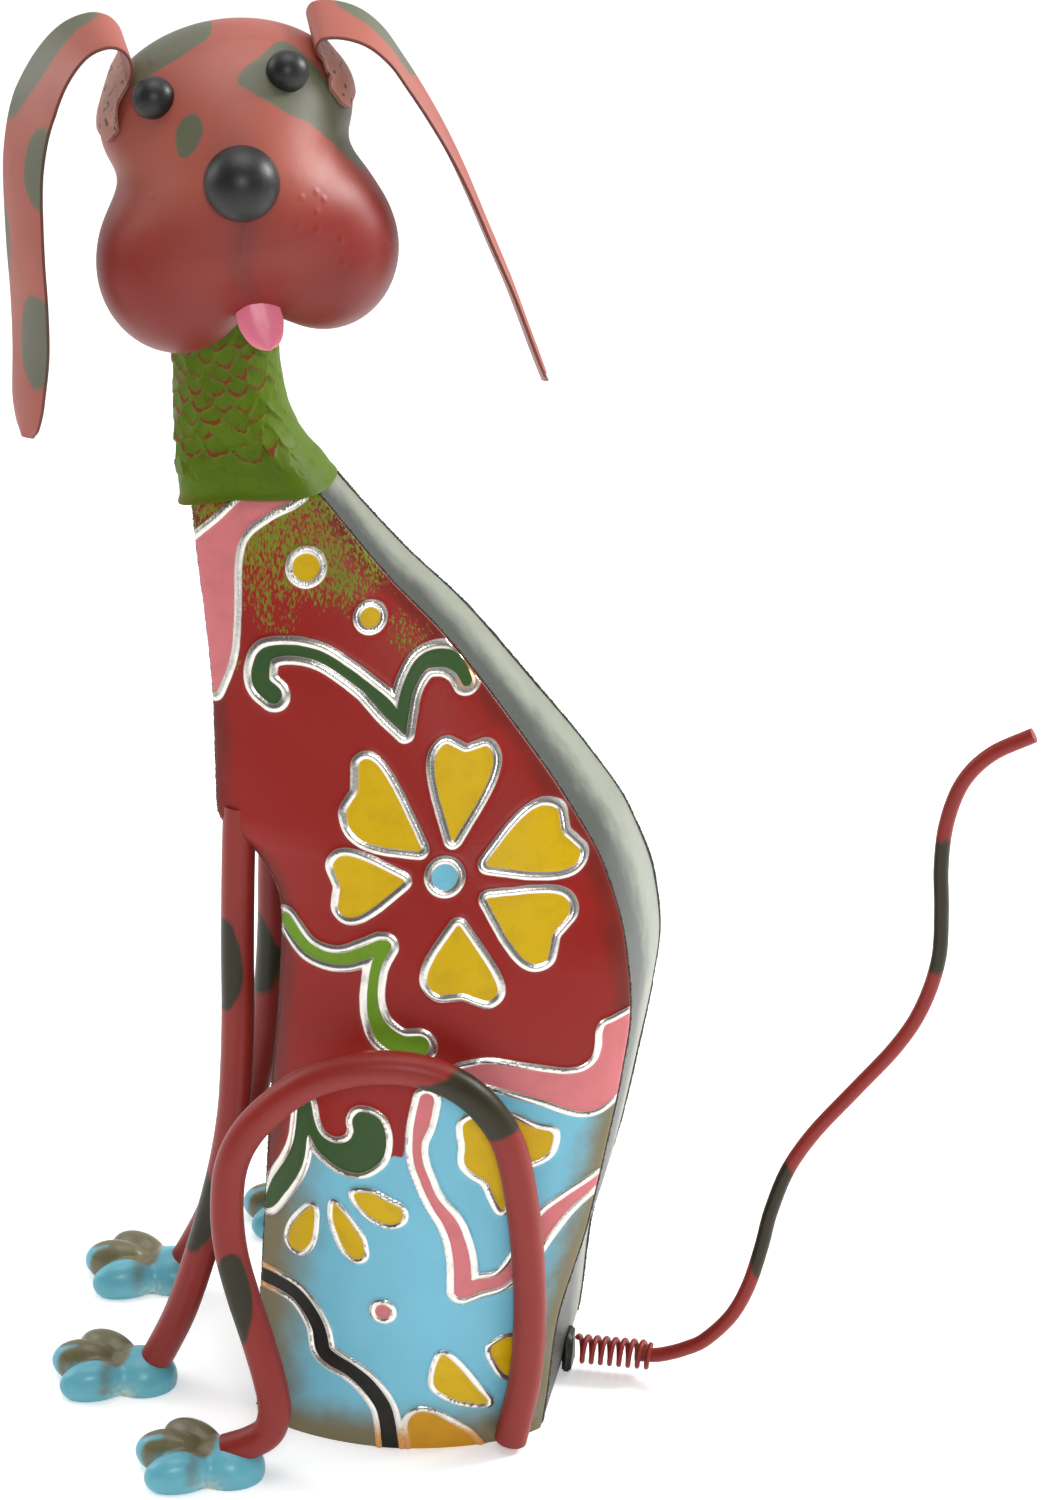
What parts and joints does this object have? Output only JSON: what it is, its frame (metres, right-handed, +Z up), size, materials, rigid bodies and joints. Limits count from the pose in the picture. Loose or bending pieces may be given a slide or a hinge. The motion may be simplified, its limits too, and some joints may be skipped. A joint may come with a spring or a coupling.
{
  "type": "metal dog garden figure",
  "caption": "Sitting dog figure welded from painted sheet steel, tube and rod, with a turned head, long hanging ears, an embossed flowered body and a tail on a coil spring.",
  "frame": {"origin": "middle of the body's underside, on the ground", "axes": "+Z up; the body faces -X and the tail is on +X; the dog's decorated left side faces -Y"},
  "size_m": [0.362, 0.2212, 0.5228],
  "materials": {
    "body_red": "semi-gloss, hand painted",
    "strip_dark": "satin",
    "neck_green": "hammered, worn",
    "head_salmon": "satin",
    "black": "satin",
    "tongue_pink": "gloss",
    "limb_red": "satin",
    "paw_turquoise": "gloss with bronze wash"
  },
  "bodies": {
    "root": {"side_panel_left": "body_red", "side_panel_right": "body_red", "back_strip": "strip_dark", "front_strip": "strip_dark", "base_plate": "strip_dark", "neck_sleeve": "neck_green", "head": "head_salmon", "nose": "black", "eye_right": "black", "eye_left": "black", "tongue": "tongue_pink", "ear_right": "head_salmon", "ear_left": "head_salmon", "front_leg_left": "limb_red", "front_leg_right": "limb_red", "hind_leg_left": "limb_red", "hind_leg_right": "limb_red", "paw_front_left": "paw_turquoise", "paw_front_right": "paw_turquoise", "paw_hind_left": "paw_turquoise", "paw_hind_right": "paw_turquoise", "tail_bracket": "black", "tail_spring": "limb_red", "tail": "limb_red"}
  },
  "joints": []
}
